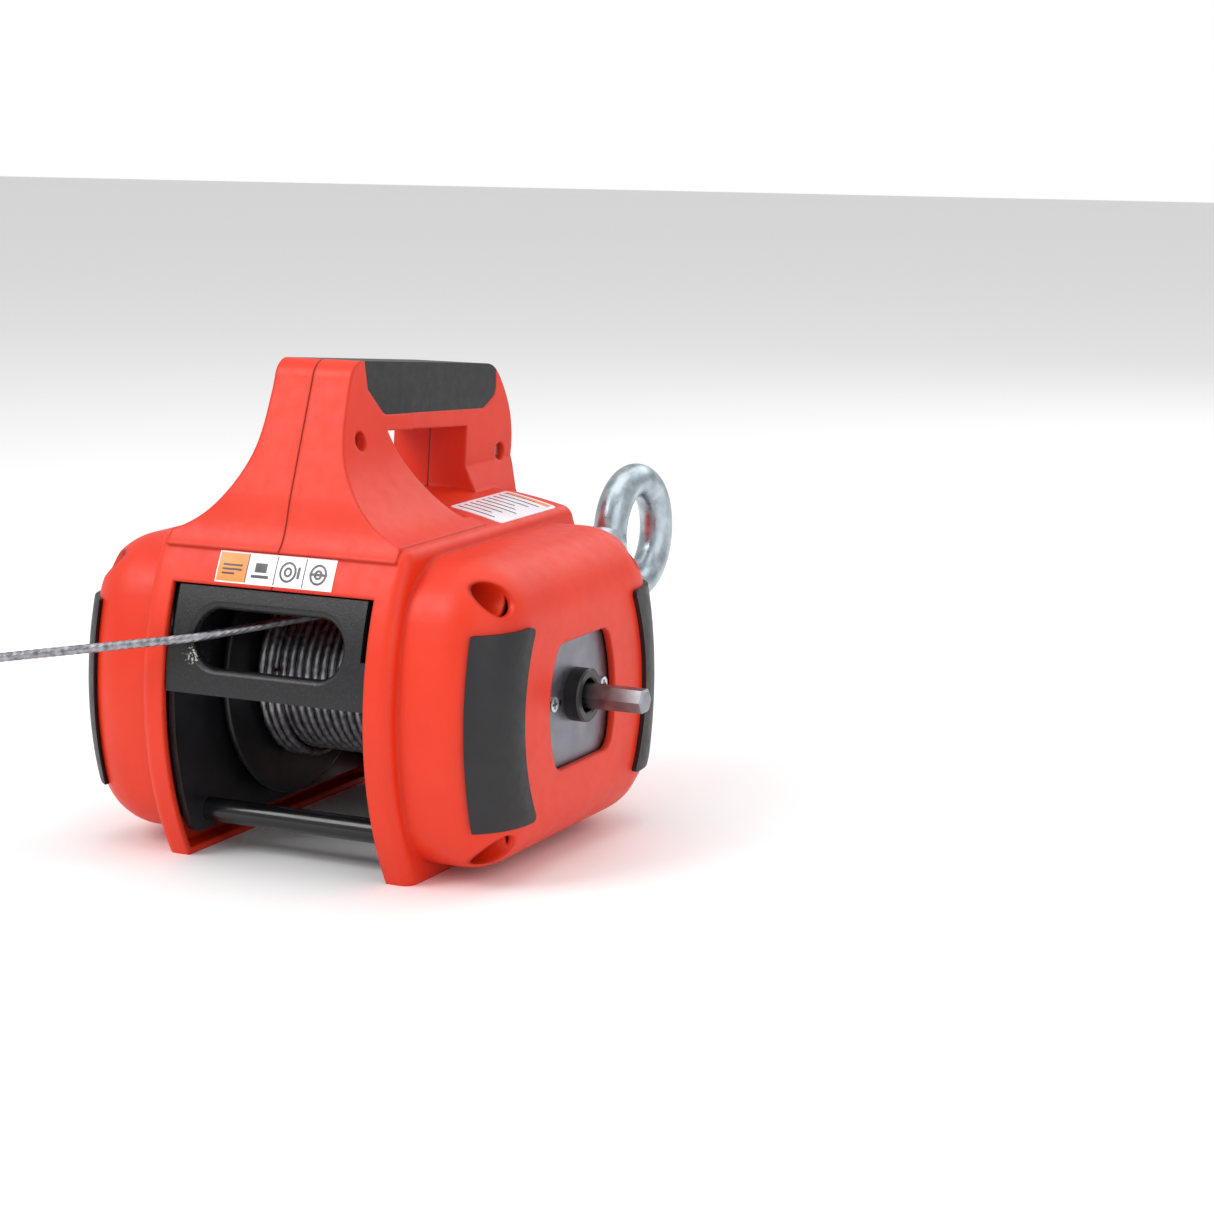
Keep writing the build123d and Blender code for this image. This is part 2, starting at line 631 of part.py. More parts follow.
# ---------------------------------------------------------------- free rope and its hook
lip = (-34.4, -88.5, 100.3)
pull = Vector(-math.sin(math.radians(60)), -math.cos(math.radians(60)), -0.092).normalized()
rope_top = axis_z + rope_low_radius + rope / 2 + fit
rope_start = (33.0, -3.0, rope_top)
rope_run = 96.0
rope_bend = 34.0             # least radius of the rope's centreline, at the fairlead's lip
rope_end = Vector(*lip) + pull * rope_run
route = [rope_start, lip, (rope_end.X, rope_end.Y, rope_end.Z)]
with BuildLine() as rope_line:
    FilletPolyline(route, radius=rope_bend)
with BuildPart() as free_rope:
    with BuildSketch(Plane(origin=rope_line.wire() @ 0, z_dir=rope_line.wire() % 0)):
        Circle(rope / 2)
    sweep(path=rope_line.wire())
finish(free_rope, "free_rope")
print("rope length", round(rope_line.wire().length, 1), "radius", rope_bend, "volume ratio",
      round(free_rope.part.volume / (math.pi * rope ** 2 / 4 * rope_line.wire().length), 4))

ferrule_long = 22.0
loop_reach = 36.0            # from the ferrule's front face to the hook pin
side_dir = Vector(0, 0, 1).cross(pull).normalized()
rise_dir = pull.cross(side_dir)
pin_spot = rope_end + pull * (ferrule_long + loop_reach)
flat = Plane(origin=pin_spot, x_dir=pull, z_dir=rise_dir)
upright = Plane(origin=pin_spot, x_dir=pull, z_dir=-side_dir)

with BuildPart() as ferrule:
    with BuildSketch(Plane(origin=rope_end, x_dir=side_dir, z_dir=pull)) as sleeve:
        SlotOverall(3.1 * rope, 1.9 * rope)
    extrude(amount=ferrule_long)
    fillet(ferrule.faces().filter_by(GeomType.PLANE).sort_by(lambda f: f.area)[:2].edges(), 0.8)
finish(ferrule, "ferrule")
with BuildPart() as thimble:
    with BuildSketch(flat) as loop:
        with BuildLine():
            Polyline([(-loop_reach, -4.4), (-loop_reach, 4.4), (-4.0, 11.8), (8, 9.5), (8, -9.5),
                      (-4.0, -11.8)], close=True)
        make_face()
        Circle(12.5)
        with BuildLine():
            Polyline([(-loop_reach + 11.0, -0.8), (-loop_reach + 11.0, 0.8), (-2.0, 6.8), (-2.0, -6.8)],
                     close=True)
        make_face(mode=Mode.SUBTRACT)
        Circle(7.0, mode=Mode.SUBTRACT)
    extrude(amount=3.2, both=True)
finish(thimble, "thimble")

pin_radius_hook = 4.5
ear_gap = 4.0
ear_high = 9.0
bowl_at = 60.0
bowl_radius = 17.0
bowl_rod = 5.5
latch_pivot = (37.0, 7.8)
latch_half = 3.5
with BuildPart() as hook:
    with BuildSketch(upright) as clevis:
        with BuildLine():
            Polyline([(-8, ear_gap), (-8, ear_high), (16, ear_high), (30, 5.5), (30, -5.5),
                      (16, -ear_high), (-8, -ear_high), (-8, -ear_gap), (15, -ear_gap),
                      (15, ear_gap)], close=True)
        make_face()
    extrude(amount=8.0, both=True)
    with BuildSketch(flat) as shank:
        with Locations((bowl_at - bowl_radius, 0)):
            Circle(bowl_rod)
    turn_axis = Axis(pin_spot + pull * bowl_at, side_dir)
    revolve(axis=turn_axis, revolution_arc=-265)
    with BuildSketch(Plane(origin=pin_spot + pull * 28.0, x_dir=side_dir, z_dir=pull)) as neck_round:
        Circle(bowl_rod)
    extrude(amount=bowl_at - bowl_radius - 28.0)
    # lugs that hold the latch's pin on the shank
    with BuildSketch(upright) as lug:
        with Locations(latch_pivot):
            Circle(2.6)
        with Locations((latch_pivot[0], latch_pivot[1] - 3.0)):
            Rectangle(5.2, 6.0)
    extrude(amount=latch_half + 2.2, both=True)
    with BuildSketch(upright) as latch_room:
        with Locations((latch_pivot[0] + 1, latch_pivot[1] + 1.35)):
            Rectangle(9.0, 6.0)
    extrude(amount=latch_half + 0.3, both=True, mode=Mode.SUBTRACT)
    with BuildSketch(upright) as latch_pin:
        with Locations(latch_pivot):
            Circle(1.2)
    extrude(amount=latch_half + 3.0, both=True)
    with BuildSketch(flat.offset(-20)) as pin_hole:
        Circle(pin_radius_hook)
    extrude(amount=40, mode=Mode.SUBTRACT)
finish(hook, "hook")
with BuildPart() as latch:
    with BuildSketch(upright) as latch_side:
        with Locations(latch_pivot):
            Circle(1.5)
        with BuildLine():
            Polyline([(latch_pivot[0], latch_pivot[1] - 1.1), (latch_pivot[0] - 0.6, latch_pivot[1] + 1.5),
                      (56.6, 16.4), (57.4, 14.2)], close=True)
        make_face()
        with Locations(latch_pivot):
            Circle(1.2 + running, mode=Mode.SUBTRACT)
    extrude(amount=latch_half, both=True)
finish(latch, "hook_latch")
with BuildPart() as hook_pin:
    with BuildSketch(flat.offset(-ear_high - 3.0)) as pin_section:
        Circle(pin_radius_hook)
    extrude(amount=2 * ear_high + 6.0)
finish(hook_pin, "hook_pin")
print("hook pin at", pin_spot, "latch pivot at",
      pin_spot + pull * latch_pivot[0] + rise_dir * latch_pivot[1], "side", side_dir, "rise", rise_dir)
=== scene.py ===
"""Looks of a hand-held, drill-driven rope winch: moulded shell, rubber, steel, wire rope, labels."""
import math

import bpy
import numpy as np
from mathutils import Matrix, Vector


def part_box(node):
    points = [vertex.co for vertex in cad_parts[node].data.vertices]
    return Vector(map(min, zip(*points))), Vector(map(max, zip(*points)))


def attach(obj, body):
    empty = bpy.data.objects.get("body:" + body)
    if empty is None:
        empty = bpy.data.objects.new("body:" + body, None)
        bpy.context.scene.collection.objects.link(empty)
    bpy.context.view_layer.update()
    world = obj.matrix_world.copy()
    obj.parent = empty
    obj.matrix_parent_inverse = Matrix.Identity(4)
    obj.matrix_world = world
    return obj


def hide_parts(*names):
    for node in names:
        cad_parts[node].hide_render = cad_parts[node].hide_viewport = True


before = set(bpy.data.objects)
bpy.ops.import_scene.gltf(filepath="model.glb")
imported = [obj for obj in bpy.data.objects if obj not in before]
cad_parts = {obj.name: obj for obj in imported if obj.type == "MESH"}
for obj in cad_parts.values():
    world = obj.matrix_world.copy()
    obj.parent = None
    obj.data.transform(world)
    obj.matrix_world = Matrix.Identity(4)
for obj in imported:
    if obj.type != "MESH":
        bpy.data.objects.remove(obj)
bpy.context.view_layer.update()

MM = 0.001

# ---------------------------------------------------------------- sizes read from the frame
wound_low, wound_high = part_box("wound_rope")
core_low, core_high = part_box("drum_core")
label_low, label_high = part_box("front_label")
deck_low, deck_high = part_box("deck_label")
cover_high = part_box("cover_plate_right")[1]
AXIS_Z = (core_low[2] + core_high[2]) / 2
FACE_RADIUS = 146 * MM       # upright arc of the front and rear faces
FACE_APEX_Z = 68 * MM
FACE_APEX_Y = 92.8 * MM
DECK_RADIUS = 218 * MM       # crown of the deck, an arc about the front-to-back direction
DECK_TOP = 150 * MM
SCREW_REACH = 23 * MM         # the bearing plates' screws lie this far from the axis
ROPE = 4 * MM
ROPE_LAY = 22 * MM           # length in which a strand goes once round the rope
STRANDS = 6
FIRST_LAYER = 34.7 * MM       # centreline radius of the winding's even layer
ROPE_BEND = 34 * MM          # radius of the free rope's centreline where it turns over the lip

# The free rope's route: off the winding, over the lip of the slot, and straight to the ferrule.
ROPE_ROUTE = [(0.033, -0.003, 0.1111), (-0.0344, -0.0885, 0.1003), (-0.117181, -0.136294, 0.091480)]


# The camera: its focal length is in pixels of a picture PICTURE_WIDTH pixels wide.
FOCAL_LENGTH = 2880.1
PICTURE_WIDTH = 1214
CAMERA_PLACE = (0.6601, -1.0776, 0.3395)
CAMERA_PITCH = 10.7          # degrees below level
CAMERA_TURN = 26.8           # degrees about the upright, from looking along +Y


# ---------------------------------------------------------------- shapes
def make_mesh(name, points, faces, body, smooth=True):
    """A piece from an (n, 3) array of points and its faces, each a run of point numbers."""
    mesh = bpy.data.meshes.new(name)
    mesh.from_pydata(np.asarray(points).tolist(), [], [list(map(int, face)) for face in faces])
    mesh.update()
    mesh.polygons.foreach_set("use_smooth", [smooth] * len(mesh.polygons))
    piece = bpy.data.objects.new(name, mesh)
    bpy.context.scene.collection.objects.link(piece)
    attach(piece, body)
    return piece


def grid_faces(rows, columns, closed):
    """Quads between neighbouring rows of a rows by columns grid; closed joins the last column to the first."""
    row, column = np.meshgrid(np.arange(rows - 1), np.arange(columns if closed else columns - 1),
                              indexing="ij")
    after = (column + 1) % columns
    quad = np.stack([row * columns + column, row * columns + after,
                     (row + 1) * columns + after, (row + 1) * columns + column], axis=-1)
    return quad.reshape(-1, 4)


def along_path(path, section):
    """Carries a section round a path: the frame turns as little as possible from point to point, and
    each row of section gives the sideways and upward offsets at its point."""
    path = np.asarray(path)
    ahead = np.gradient(path, axis=0)
    ahead /= np.linalg.norm(ahead, axis=1)[:, None]
    side = np.zeros_like(path)
    side[0] = np.cross(ahead[0], (0.0, 0.0, 1.0) if abs(ahead[0][2]) < 0.9 else (1.0, 0.0, 0.0))
    for index in range(1, len(path)):
        side[index] = side[index - 1] - ahead[index] * np.dot(side[index - 1], ahead[index])
    side /= np.linalg.norm(side, axis=1)[:, None]
    rise = np.cross(side, ahead)
    return path[:, None] + side[:, None] * section[..., 0:1] + rise[:, None] * section[..., 1:2]


def wire_rope(path, name, body):
    """Laid wire rope along a path. At distance s and angle a its radius is the rope's radius times
    0.82 + 0.18 |cos(3 (a - 2 pi s / lay))|, which gives six strands that wind round the path."""
    path = np.asarray(path)
    steps = np.linalg.norm(np.diff(path, axis=0), axis=1)
    distance = np.concatenate([[0.0], np.cumsum(steps)])
    angle = np.linspace(0, 2 * math.pi, 30, endpoint=False)[None, :]
    twist = 2 * math.pi * distance[:, None] / ROPE_LAY
    lobe = np.abs(np.cos(STRANDS / 2 * (angle - twist)))
    radius = ROPE / 2 * (0.82 + 0.18 * lobe)
    section = np.stack([radius * np.cos(angle), radius * np.sin(angle)], axis=-1)
    points = along_path(path, section)
    rows, columns = points.shape[:2]
    flat = points.reshape(-1, 3)
    faces = grid_faces(rows, columns, True)[:, ::-1].tolist()
    start, end = len(flat), len(flat) + 1
    flat = np.vstack([flat, path[:1], path[-1:]])
    last = (rows - 1) * columns
    for column in range(columns):
        after = (column + 1) % columns
        faces.append([start, column, after, start])
        faces.append([end, last + after, last + column, end])
    faces = [list(dict.fromkeys(face)) for face in faces]
    return make_mesh(name, flat, faces, body)


def coil(radius, x_start, x_end, turns, start_angle, wander=0.0):
    """Points of a winding about the drum axis: x runs evenly from start to end while the angle turns,
    and the radius wanders by a few tenths of a millimetre. Angle 0 is the top, growing towards the rear."""
    count = int(abs(turns) * 96)
    share = np.linspace(0, 1, count)
    angle = start_angle + 2 * math.pi * turns * share
    wave = wander * np.sin(7.3 * share * turns) * np.sin(2.1 * share * turns + 0.6)
    x = x_start + (x_end - x_start) * share
    return np.stack([x, (radius + wave) * np.sin(angle), AXIS_Z + (radius + wave) * np.cos(angle)], axis=1)


def face_depth(z, proud):
    """How far in front of the drum axis the upright arc face stands at height z."""
    reach = FACE_RADIUS + proud
    return FACE_APEX_Y - FACE_RADIUS + np.sqrt(reach ** 2 - (z - FACE_APEX_Z) ** 2)


def front_patch(name, x_span, z_span, proud, skin):
    """Thin patch on the front face: its outer side is the face's arc moved out by proud plus skin."""
    x = np.linspace(*x_span, 3)
    z = np.linspace(*z_span, 9)
    grid_z, grid_x = np.meshgrid(z, x, indexing="ij")
    outer = np.stack([grid_x, -face_depth(grid_z, proud + skin), grid_z], axis=-1)
    inner = np.stack([grid_x, -face_depth(grid_z, proud), grid_z], axis=-1)
    return closed_patch(name, outer, inner)


def deck_patch(name, x_span, y_span, proud, skin):
    """Thin patch on the crowned deck: its outer side is the deck's arc moved out by proud plus skin."""
    x = np.linspace(*x_span, 9)
    y = np.linspace(*y_span, 3)
    grid_y, grid_x = np.meshgrid(y, x, indexing="ij")

    def height(extra):
        return DECK_TOP - DECK_RADIUS + np.sqrt((DECK_RADIUS + extra) ** 2 - grid_x ** 2)

    outer = np.stack([grid_x, grid_y, height(proud + skin)], axis=-1)
    inner = np.stack([grid_x, grid_y, height(proud)], axis=-1)
    return closed_patch(name, outer, inner)


def front_ring(name, centre, radii, proud, skin):
    """Thin flat ring on the front face round a centre (x, z), between an outer and an inner radius."""
    turn = np.linspace(0, 2 * math.pi, 40, endpoint=False)
    rows = []
    for radius, lift in ((radii[0], 0.0), (radii[0], skin), (radii[1], skin), (radii[1], 0.0)):
        z = centre[1] + radius * np.sin(turn)
        rows.append(np.stack([centre[0] + radius * np.cos(turn), -face_depth(z, proud + lift), z], axis=-1))
    points = np.vstack(rows)
    faces = grid_faces(4, len(turn), True)
    last = 3 * len(turn) + np.arange(len(turn))
    first = np.arange(len(turn))
    close = np.stack([last, np.roll(last, -1), np.roll(first, -1), first], axis=1)
    return make_mesh(name, points, np.vstack([faces, close]), "root", smooth=False)


def closed_patch(name, outer, inner):
    """Joins an outer and an inner grid of the same size into one closed thin piece."""
    rows, columns = outer.shape[:2]
    top = grid_faces(rows, columns, False)
    count = rows * columns
    rim = np.concatenate([np.arange(columns), np.arange(1, rows) * columns + columns - 1,
                          (rows - 1) * columns + np.arange(columns - 2, -1, -1),
                          np.arange(rows - 2, 0, -1) * columns])
    after = np.roll(rim, -1)
    wall = np.stack([rim, rim + count, after + count, after], axis=1)
    points = np.vstack([outer.reshape(-1, 3), inner.reshape(-1, 3)])
    faces = np.vstack([top, top[:, ::-1] + count, wall])
    return make_mesh(name, points, faces, "root", smooth=False)


# ---------------------------------------------------------------- material tools
def linear(colour):
    """sRGB hex colour to linear values with full alpha."""
    value = np.array([int(colour[i:i + 2], 16) for i in (1, 3, 5)]) / 255
    value = np.where(value <= 0.04045, value / 12.92, ((value + 0.055) / 1.055) ** 2.4)
    return (*value.tolist(), 1.0)


def add_node(tree, kind, links=None, **settings):
    """Adds a node of a kind; settings are its properties or the values of its inputs, links its sources."""
    node = tree.nodes.new(kind)
    for key, value in settings.items():
        if hasattr(node, key):
            setattr(node, key, value)
        else:
            socket = int(key[1:]) if key[0] == "i" and key[1:].isdigit() else key.replace("_", " ")
            node.inputs[socket].default_value = value
    for key, source in (links or {}).items():
        tree.links.new(source, node.inputs[key])
    return node


def ramp_node(tree, source, stops):
    """Colour ramp with (place, hex colour) stops."""
    node = add_node(tree, "ShaderNodeValToRGB", {0: source})
    while len(node.color_ramp.elements) < len(stops):
        node.color_ramp.elements.new(0.5)
    for element, (place, colour) in zip(node.color_ramp.elements, stops):
        element.position = place
        element.color = linear(colour)
    return node


def new_material(name):
    """An empty material with its shader; returns (material, tree, shader, object coordinates)."""
    material = bpy.data.materials.new(name)
    material.use_nodes = True
    tree = material.node_tree
    shader = tree.nodes["Principled BSDF"]
    where = add_node(tree, "ShaderNodeTexCoord").outputs["Object"]
    return material, tree, shader, where


def grain(tree, where, size, strength, distance, shader, detail=3.0, stretch=None):
    """Noise bump whose grains are size metres wide; stretch scales the axes for brushed marks."""
    if stretch:
        where = add_node(tree, "ShaderNodeMapping", {0: where}, i3=stretch).outputs[0]
    noise = add_node(tree, "ShaderNodeTexNoise", {"Vector": where}, Scale=1 / size, Detail=detail)
    bump = add_node(tree, "ShaderNodeBump", {"Height": noise.outputs[0]}, Strength=strength,
                    Distance=distance)
    tree.links.new(bump.outputs[0], shader.inputs["Normal"])
    return bump


def tint(tree, where, shader, size, stops, detail=4.0):
    """Colour that drifts between stops with a noise of that size."""
    noise = add_node(tree, "ShaderNodeTexNoise", {"Vector": where}, Scale=1 / size, Detail=detail)
    colour = ramp_node(tree, noise.outputs[0], stops)
    tree.links.new(colour.outputs[0], shader.inputs["Base Color"])
    return colour


def shine(tree, where, shader, size, low, high):
    """Roughness that drifts between low and high with a noise of that size."""
    noise = add_node(tree, "ShaderNodeTexNoise", {"Vector": where}, Scale=1 / size, Detail=5.0)
    spread = add_node(tree, "ShaderNodeMapRange", {"Value": noise.outputs[0]}, i1=0.3, i2=0.7, i3=low,
                      i4=high)
    tree.links.new(spread.outputs[0], shader.inputs["Roughness"])


# ---------------------------------------------------------------- materials
def moulded_abs():
    """Red ABS, injection moulded in a spark-eroded tool: even colour, fine grain, soft broad highlights.
    The two halves meet at x = 0, where a hairline gap reads darker, and every edge is a little rounded."""
    material, tree, shader, where = new_material("moulded_red_abs")
    tone = tint(tree, where, shader, 45 * MM, [(0.25, "#D62A08"), (0.75, "#E1330D")])
    apart = add_node(tree, "ShaderNodeSeparateXYZ", {0: where})
    from_seam = add_node(tree, "ShaderNodeMath", {0: apart.outputs[0]}, operation="ABSOLUTE")
    seam = add_node(tree, "ShaderNodeMapRange", {"Value": from_seam.outputs[0]}, i1=0.00012,
                    i2=0.00035, i3=1.0, i4=0.0)
    mix = add_node(tree, "ShaderNodeMix", {0: seam.outputs[0], 6: tone.outputs[0]}, data_type="RGBA",
                   i7=linear("#7C1208"))
    tree.links.new(mix.outputs[2], shader.inputs["Base Color"])
    rounded = add_node(tree, "ShaderNodeBevel", Radius=2.2 * MM)
    rounded.samples = 6
    bump = grain(tree, where, 0.7 * MM, 0.3, 0.00007, shader)
    tree.links.new(rounded.outputs[0], bump.inputs["Normal"])
    joint = add_node(tree, "ShaderNodeBump", {"Height": seam.outputs[0], "Normal": bump.outputs[0]},
                     Strength=0.6, Distance=0.0003, invert=True)
    tree.links.new(joint.outputs[0], shader.inputs["Normal"])
    shine(tree, where, shader, 6 * MM, 0.4, 0.5)
    shader.inputs["IOR"].default_value = 1.45
    return material


def moulded_rubber():
    """Black thermoplastic rubber, moulded: matt, slightly grey, with a pebbled grip texture."""
    material, tree, shader, where = new_material("moulded_black_rubber")
    tint(tree, where, shader, 20 * MM, [(0.3, "#0E0D11"), (0.7, "#141318")])
    cells = add_node(tree, "ShaderNodeTexVoronoi", {"Vector": where}, Scale=1 / (1.1 * MM))
    bump = add_node(tree, "ShaderNodeBump", {"Height": cells.outputs[0]}, Strength=0.35,
                    Distance=0.00012)
    tree.links.new(bump.outputs[0], shader.inputs["Normal"])
    shine(tree, where, shader, 5 * MM, 0.42, 0.55)
    shader.inputs["IOR"].default_value = 1.5
    return material


def wrinkle_coat():
    """Cast steel with a black wrinkle powder coat: coarse sparkle, and bright flecks where the rope has
    rubbed the lower left end of the slot."""
    material, tree, shader, where = new_material("wrinkle_coated_casting")
    cells = add_node(tree, "ShaderNodeTexNoise", {"Vector": where}, Scale=1 / (0.9 * MM), Detail=6.0,
                     Roughness=0.7)
    colour = ramp_node(tree, cells.outputs[0], [(0.45, "#0D0D10"), (0.6, "#17171B"), (0.72, "#3A3A42")])
    end = add_node(tree, "ShaderNodeVectorMath", {0: where}, operation="DISTANCE",
                   i1=(-0.0365, -0.0890, 0.0925))
    patchy = add_node(tree, "ShaderNodeTexNoise", {"Vector": where}, Scale=1 / (1.3 * MM), Detail=6.0)
    ragged = add_node(tree, "ShaderNodeMath", {0: patchy.outputs[0]}, operation="MULTIPLY_ADD",
                      i1=0.02, i2=-0.0088)
    bare = add_node(tree, "ShaderNodeMath", {0: end.outputs[1], 1: ragged.outputs[0]},
                    operation="LESS_THAN")
    mix = add_node(tree, "ShaderNodeMix", {0: bare.outputs[0], 6: colour.outputs[0]}, data_type="RGBA",
                   i7=linear("#B9B6B4"))
    tree.links.new(mix.outputs[2], shader.inputs["Base Color"])
    tree.links.new(bare.outputs[0], shader.inputs["Metallic"])
    bump = add_node(tree, "ShaderNodeBump", {"Height": cells.outputs[0]}, Strength=0.6, Distance=0.00022)
    tree.links.new(bump.outputs[0], shader.inputs["Normal"])
    shine(tree, where, shader, 2 * MM, 0.26, 0.42)
    return material


def black_paint(name, dark, light, low, high):
    """Mild steel under black enamel: thin, slightly uneven coat with soft reflections."""
    material, tree, shader, where = new_material(name)
    tint(tree, where, shader, 12 * MM, [(0.3, dark), (0.7, light)])
    grain(tree, where, 1.4 * MM, 0.18, 0.0001, shader)
    shine(tree, where, shader, 7 * MM, low, high)
    return material


def bare_metal(name, dark, light, low, high, grain_size, depth, stretch=None, patch=8 * MM):
    """Metal whose tone and gloss drift a little, with grain or brush marks of a given size."""
    material, tree, shader, where = new_material(name)
    tint(tree, where, shader, patch, [(0.3, dark), (0.7, light)], detail=6.0)
    grain(tree, where, grain_size, 0.4, depth, shader, stretch=stretch)
    shine(tree, where, shader, patch / 2, low, high)
    shader.inputs["Metallic"].default_value = 1.0
    return material


def printed_film(name, colour, second):
    """Printed polyester film under a clear laminate: flat ink with a smooth, shiny top."""
    material, tree, shader, where = new_material(name)
    tint(tree, where, shader, 15 * MM, [(0.35, colour), (0.65, second)])
    grain(tree, where, 3 * MM, 0.08, 0.00005, shader)
    shine(tree, where, shader, 9 * MM, 0.22, 0.32)
    return material


red_abs = moulded_abs()
rubber = moulded_rubber()
casting = wrinkle_coat()
enamel = black_paint("black_enamelled_steel", "#141416", "#1E1E23", 0.28, 0.42)
glossy_enamel = black_paint("glossy_black_rod", "#0D0D0F", "#17171A", 0.14, 0.24)
oxide = black_paint("black_oxide_collar", "#0E0E10", "#19191C", 0.3, 0.45)
brushed = bare_metal("brushed_steel_sheet", "#7C7C84", "#8F8F98", 0.34, 0.46, 0.5 * MM, 0.00006,
                     stretch=(1.0, 0.06, 1.0))
zinc = bare_metal("bright_zinc_screw", "#B4B8BE", "#D2D5DA", 0.2, 0.34, 0.8 * MM, 0.00005)
forged = bare_metal("forged_zinc_plate", "#8E9BA3", "#C3CED4", 0.24, 0.42, 2.2 * MM, 0.00022)
galvanised = bare_metal("galvanised_rope_wire", "#77777C", "#B4B4BA", 0.28, 0.45, 0.45 * MM, 0.0001,
                        patch=3 * MM)
machined = bare_metal("machined_gear_steel", "#7C7D81", "#94969A", 0.28, 0.4, 0.6 * MM, 0.00005)
cast_metal = bare_metal("die_cast_aluminium", "#8D8E92", "#A4A5A9", 0.45, 0.6, 1.2 * MM, 0.0002)
bronze = bare_metal("sintered_bronze", "#8A6234", "#A97C45", 0.4, 0.55, 0.5 * MM, 0.0001)
pressed = bare_metal("pressed_aluminium", "#A5A7AB", "#BFC1C5", 0.3, 0.42, 1.0 * MM, 0.00008)
lining = black_paint("brake_lining", "#3B2F26", "#54453A", 0.7, 0.85)
white_film = printed_film("white_label_film", "#EDE9F2", "#F6F3FA")
orange_film = printed_film("orange_label_film", "#F57C14", "#FF8F24")
black_ink = printed_film("black_label_ink", "#1B1A1D", "#262529")
# painted shade: dark finish for the screws' cross recesses, standing in for the shade inside them
recess_painted_shade = black_paint("screw_recess_painted_shade", "#202023", "#34343A", 0.4, 0.55)

NODE_FINISH = {
    red_abs: ["shell_left", "shell_right"],
    rubber: ["grip_left", "grip_right", "bumper_front_left", "bumper_front_right", "bumper_rear_left",
             "bumper_rear_right"],
    casting: ["fairlead"],
    enamel: ["frame_plate_left", "frame_plate_right", "flange_left", "flange_right",
             "rear_anchor_bar", "drum_core"],
    glossy_enamel: ["tie_rod_front", "tie_rod_rear"],
    oxide: ["input_collar"],
    brushed: ["cover_plate_left", "cover_plate_right"],
    zinc: ["tie_rod_bolts", "cover_screws", "shell_screws", "rope_clamp_screw", "anchor_nut"],
    forged: ["anchor_eye", "hook", "thimble", "hook_pin", "hook_latch"],
    machined: ["ring_gear_housing", "carrier_output", "carrier_first", "drive_shaft", "brake_rotor",
               "input_bearing"] + [f"planet_{stage}_{letter}" for stage in ("first", "second")
                                   for letter in "abc"],
    cast_metal: ["gear_cover", "brake_housing"],
    bronze: ["drum_bush_left", "drum_bush_right", "shaft_bearing"],
    pressed: ["ferrule"],
    lining: ["brake_friction_discs"],
    white_film: ["front_label", "deck_label"],
}


def finish_nodes():
    """Gives every carried-over node its finish."""
    for material, names in NODE_FINISH.items():
        for name in names:
            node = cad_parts[name]
            node.data.materials.clear()
            node.data.materials.append(material)


def paint(piece, material):
    """Gives a new piece its finish."""
    piece.data.materials.clear()
    piece.data.materials.append(material)
    return piece


# ---------------------------------------------------------------- rope
def wind_drum():
    """Wire rope on the drum: one even layer, a second layer at the left, and one turn crossing to
    where the rope leaves."""
    second = FIRST_LAYER + 0.95 * ROPE
    left = wound_low[0] + ROPE / 2
    right = wound_high[0] - ROPE / 2
    turns = int((right - left) / (ROPE * 1.02))
    layer = paint(wire_rope(coil(FIRST_LAYER, left, right, turns, 0.4, 0.00012), "rope_first_layer", "drum"),
                  galvanised)
    paint(wire_rope(coil(second, left, left + 2.6 * ROPE, 2.6, 1.1, 0.0002),
                    "rope_second_layer", "drum"), galvanised)
    start = np.array(ROPE_ROUTE[0])
    away = math.hypot(start[1], start[2] - AXIS_Z)
    top = math.atan2(start[1], start[2] - AXIS_Z)
    paint(wire_rope(coil(away, start[0], start[0] - 9 * MM, 0.93, top), "rope_last_turn", "drum"),
          galvanised)
    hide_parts("wound_rope")


def rounded_route():
    """The free rope's route: two straight runs joined by an arc of radius ROPE_BEND. For an angle t
    between the runs the arc touches each run at ROPE_BEND * tan(t / 2) from the corner."""
    start, corner, end = (np.array(point) for point in ROPE_ROUTE)
    into = (corner - start) / np.linalg.norm(corner - start)
    away = (end - corner) / np.linalg.norm(end - corner)
    bend = math.acos(float(np.dot(into, away)))
    touch = ROPE_BEND * math.tan(bend / 2)
    inward = (away - into) / np.linalg.norm(away - into)
    centre = corner + inward * ROPE_BEND / math.cos(bend / 2)
    first = corner - into * touch
    angle = np.linspace(0, bend, 40)[:, None]
    arc = centre + (first - centre) * np.cos(angle) + into * ROPE_BEND * np.sin(angle)
    return np.vstack([start, arc, end])


def refine(points, step):
    """Points at an even step along a run of points."""
    distance = np.concatenate([[0.0], np.cumsum(np.linalg.norm(np.diff(points, axis=0), axis=1))])
    even = np.linspace(0, distance[-1], int(distance[-1] / step) + 1)
    return np.stack([np.interp(even, distance, points[:, axis]) for axis in range(3)], axis=1)


def run_free_rope():
    """The rope from the drum through the slot to its ferrule, pulled tight by its load."""
    path = refine(rounded_route(), 0.8 * MM)
    rope = paint(wire_rope(path, "pulled_rope", "root"), galvanised)
    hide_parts("free_rope")


